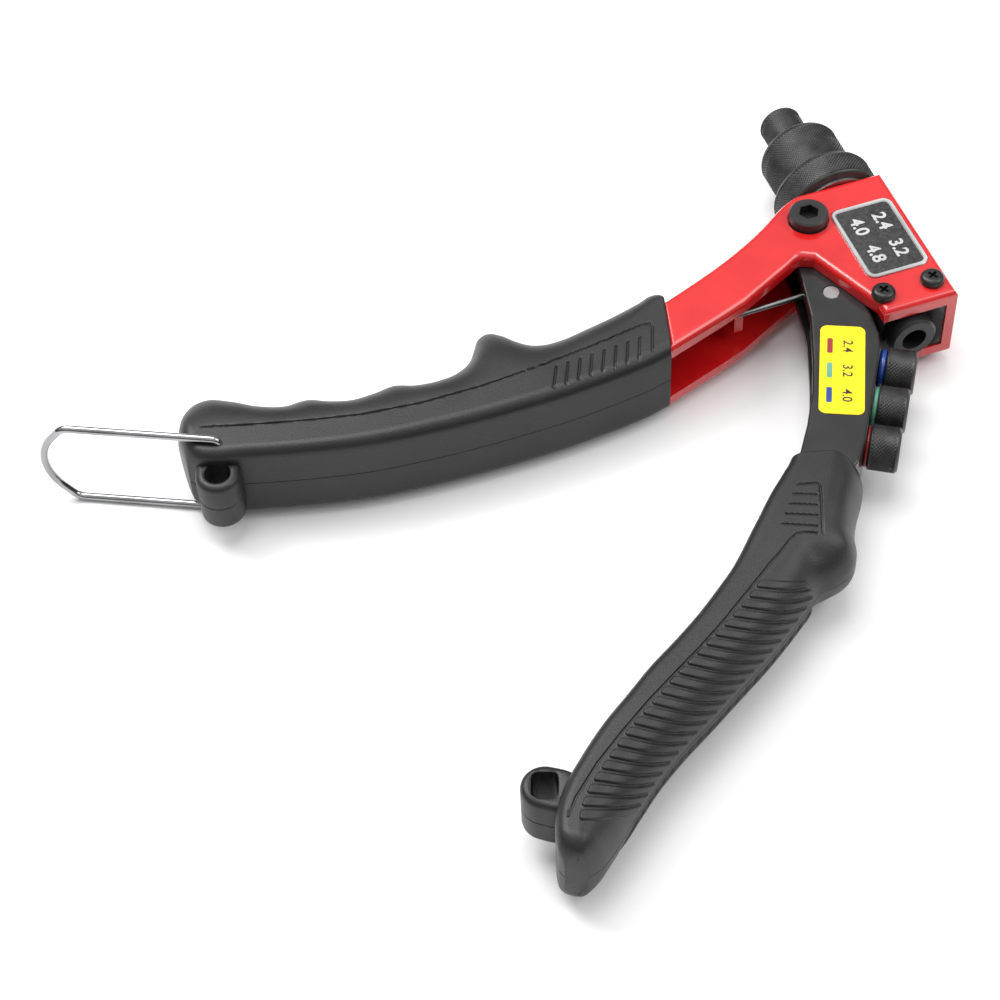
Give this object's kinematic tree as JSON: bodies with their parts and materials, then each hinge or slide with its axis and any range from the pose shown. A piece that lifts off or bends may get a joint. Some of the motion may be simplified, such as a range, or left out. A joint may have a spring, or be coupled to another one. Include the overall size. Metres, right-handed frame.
{
  "type": "hand riveter",
  "caption": "Two-handled long-arm blind rivet tool with knurled nose collars, spare nosepieces on the lever and a wire locking bail.",
  "frame": {"origin": "centre of the fitted nosepiece's front face", "axes": "+Y along the nose axis out of the tip, +X to the closed side of the body, +Z to the label side; the tool lies on its side"},
  "size_m": [0.2979, 0.2623, 0.0361],
  "materials": {
    "red_paint": "gloss enamel on casting",
    "black_steel": "black oxide",
    "knurled_steel": "phosphated, diamond knurled",
    "bright_steel": "ground",
    "spring_steel": "oil tempered",
    "black_moulding": "satin moulded",
    "lever_black": "semi-gloss black coat",
    "grip_plastic": "finely textured moulding",
    "label": "printed plate with bright border",
    "sticker": "satin vinyl",
    "ring_blue": "moulded",
    "ring_green": "moulded",
    "ring_red": "moulded",
    "chrome_wire": "bright plated"
  },
  "bodies": {
    "body": {"frame_body": "red_paint", "pivot_bolt": "black_steel", "pivot_nut": "black_steel", "nose_barrel": "bright_steel", "end_block": "black_moulding", "end_screws": "black_steel", "label_plate": "label", "fixed_grip_upper": "grip_plastic", "fixed_grip_lower": "grip_plastic"},
    "lever": {"lever": "lever_black", "fulcrum_bush": "bright_steel", "spring_pin": "bright_steel", "return_spring": "spring_steel", "lever_sticker": "sticker", "lever_grip_upper": "grip_plastic", "lever_grip_lower": "grip_plastic"},
    "puller": {"jaw_case": "bright_steel", "jaws": "bright_steel", "jaw_pusher": "bright_steel", "jaw_spring": "spring_steel", "pull_rod": "bright_steel", "trunnion_pins": "bright_steel", "stem_tube": "bright_steel", "exit_sleeve": "black_moulding"},
    "lock_ring": {"lock_ring": "knurled_steel"},
    "nose_sleeve": {"nose_sleeve": "knurled_steel"},
    "nosepiece": {"nosepiece": "knurled_steel"},
    "bail": {"bail": "chrome_wire"},
    "spare_blue": {"spare_nosepiece_blue": "knurled_steel", "colour_ring_blue": "ring_blue"},
    "spare_green": {"spare_nosepiece_green": "knurled_steel", "colour_ring_green": "ring_green"},
    "spare_red": {"spare_nosepiece_red": "knurled_steel", "colour_ring_red": "ring_red"}
  },
  "joints": [
    {"name": "lever_swing", "type": "hinge", "parent": "body", "child": "lever", "pos_m": [-0.0166, -0.0615, 0], "axis": [0, 0, -1], "range_deg": [0, 36], "stiffness_Nm_per_rad": 0.8, "springref_deg": -22.92, "deforming": ["return_spring"]},
    {"name": "puller_slide", "type": "slide", "parent": "body", "child": "puller", "axis": [0, -1, 0], "range_m": [0, 0.0112]},
    {"name": "lock_ring_turn", "type": "hinge", "parent": "body", "child": "lock_ring", "pos_m": [0, -0.042, 0], "axis": [0, 1, 0], "continuous": true},
    {"name": "nose_sleeve_turn", "type": "hinge", "parent": "body", "child": "nose_sleeve", "pos_m": [0, -0.028, 0], "axis": [0, 1, 0], "continuous": true},
    {"name": "nosepiece_unscrew", "type": "slide", "parent": "nose_sleeve", "child": "nosepiece", "axis": [0, 1, 0], "range_m": [0, 0.012]},
    {"name": "bail_swing", "type": "hinge", "parent": "body", "child": "bail", "pos_m": [-0.2263, -0.0865, 0], "axis": [0, 0, 1], "range_deg": [-60, 65]},
    {"name": "spare_blue_unscrew", "type": "slide", "parent": "lever", "child": "spare_blue", "axis": [0.8517, -0.524, 0], "range_m": [0, 0.014]},
    {"name": "spare_green_unscrew", "type": "slide", "parent": "lever", "child": "spare_green", "axis": [0.8517, -0.524, 0], "range_m": [0, 0.014]},
    {"name": "spare_red_unscrew", "type": "slide", "parent": "lever", "child": "spare_red", "axis": [0.8517, -0.524, 0], "range_m": [0, 0.014]}
  ],
  "couplings": [
    {"joint": "puller_slide", "follows": "lever_swing", "m_per_rad": 0.01765}
  ]
}
